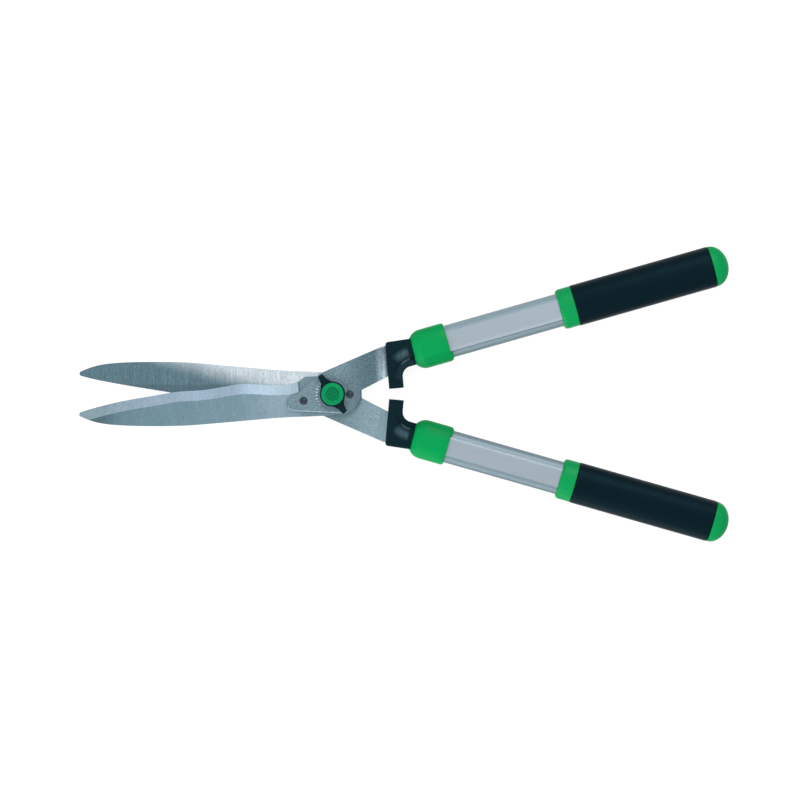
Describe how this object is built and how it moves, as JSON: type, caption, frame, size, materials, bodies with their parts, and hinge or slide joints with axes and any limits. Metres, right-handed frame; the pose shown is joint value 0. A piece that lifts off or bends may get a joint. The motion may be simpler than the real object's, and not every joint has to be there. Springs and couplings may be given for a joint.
{
  "type": "hedge shears",
  "caption": "Two-handed hedge shears: wavy-edged blades crossed on a bolt with a winged tension knob, rubber buffers and oval tube handles.",
  "frame": {"origin": "on the pivot axis, midway between the two shear faces", "axes": "+X from the pivot towards the handles along the line that halves the opening, +Z along the pivot bolt out of the tension knob, +Y towards the front arm's handle"},
  "size_m": [0.5843, 0.2654, 0.0291],
  "materials": {
    "blade_steel": "ground and brushed",
    "tang_steel": "satin, stamped plate",
    "rivet_steel": "dark oxide, faced flush",
    "pin_steel": "plain",
    "bolt_steel": "zinc plated",
    "aluminium_tube": "satin anodised",
    "green_plastic": "moulded, semi-gloss",
    "black_plastic": "moulded, satin",
    "core_plastic": "moulded, hidden",
    "black_rubber": "moulded, satin",
    "black_grip": "soft, matte"
  },
  "bodies": {
    "front_arm": {"front_blade": "blade_steel", "front_tang": "tang_steel", "front_rivets": "rivet_steel", "front_bumper": "black_rubber", "front_ferrule": "green_plastic", "front_handle_tube": "aluminium_tube", "front_tang_core": "core_plastic", "front_tang_pin": "pin_steel", "front_grip_ring": "green_plastic", "front_grip": "black_grip", "front_end_cap": "green_plastic", "pivot_bolt": "bolt_steel", "bolt_washer": "bolt_steel", "spring_washer": "bolt_steel"},
    "rear_arm": {"rear_blade": "blade_steel", "rear_tang": "tang_steel", "rear_rivets": "rivet_steel", "rear_bumper": "black_rubber", "rear_ferrule": "green_plastic", "rear_handle_tube": "aluminium_tube", "rear_tang_core": "core_plastic", "rear_tang_pin": "pin_steel", "rear_grip_ring": "green_plastic", "rear_grip": "black_grip", "rear_end_cap": "green_plastic"},
    "knob": {"tension_knob": "black_plastic", "knob_nut": "bolt_steel", "knob_cap": "green_plastic"}
  },
  "joints": [
    {"name": "blade_pivot", "type": "hinge", "parent": "front_arm", "child": "rear_arm", "pos_m": [0, 0, 0], "axis": [0, 0, 1], "range_deg": [-60, 10]},
    {"name": "tension_knob_turn", "type": "hinge", "parent": "front_arm", "child": "knob", "pos_m": [0, 0, 0], "axis": [0, 0, 1], "range_deg": [-90, 270]}
  ]
}
